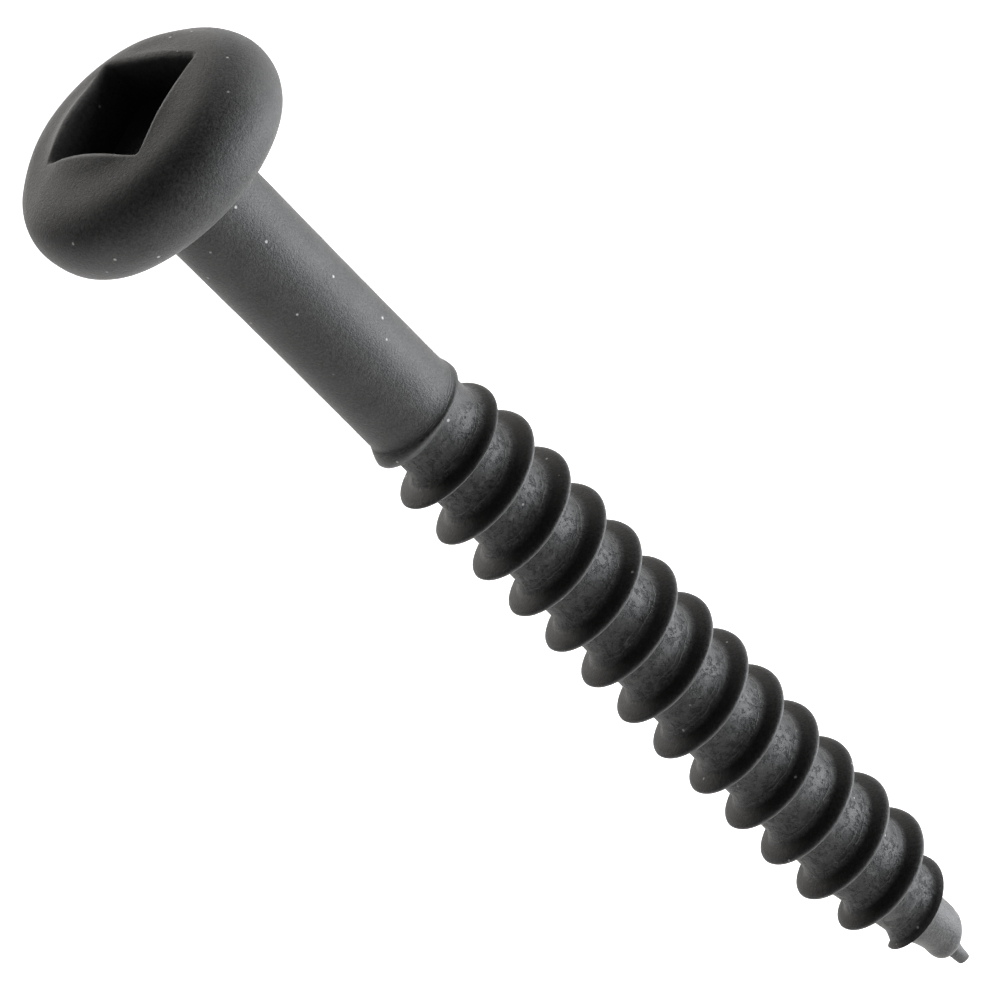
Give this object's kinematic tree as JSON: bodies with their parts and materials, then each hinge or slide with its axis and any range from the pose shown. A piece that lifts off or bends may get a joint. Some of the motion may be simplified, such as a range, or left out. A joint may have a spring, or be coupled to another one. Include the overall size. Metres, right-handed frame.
{
  "type": "wood screw",
  "caption": "Pan head wood screw with a square drive socket, a plain shank under the head, a coarse right-hand thread and a blunt tapered point.",
  "frame": {"origin": "centre of the flat bearing ring under the head, on the screw's axis", "axes": "+Z along the axis from the point towards the head; -X towards the side where the thread ends"},
  "size_m": [0.0072, 0.0072, 0.0347],
  "materials": {
    "black_phosphate": "matte black phosphate with fine mottling",
    "worn_phosphate": "rubbed black phosphate with fine scuffs",
    "bare_tip": "thin coat rubbed down to dull grey steel"
  },
  "bodies": {
    "root": {"pan_head": "black_phosphate", "neck": "black_phosphate", "shank": "worn_phosphate", "shoulder": "worn_phosphate", "core": "worn_phosphate", "thread_runout": "black_phosphate", "thread": "black_phosphate", "point": "bare_tip", "nib": "bare_tip"}
  },
  "joints": []
}
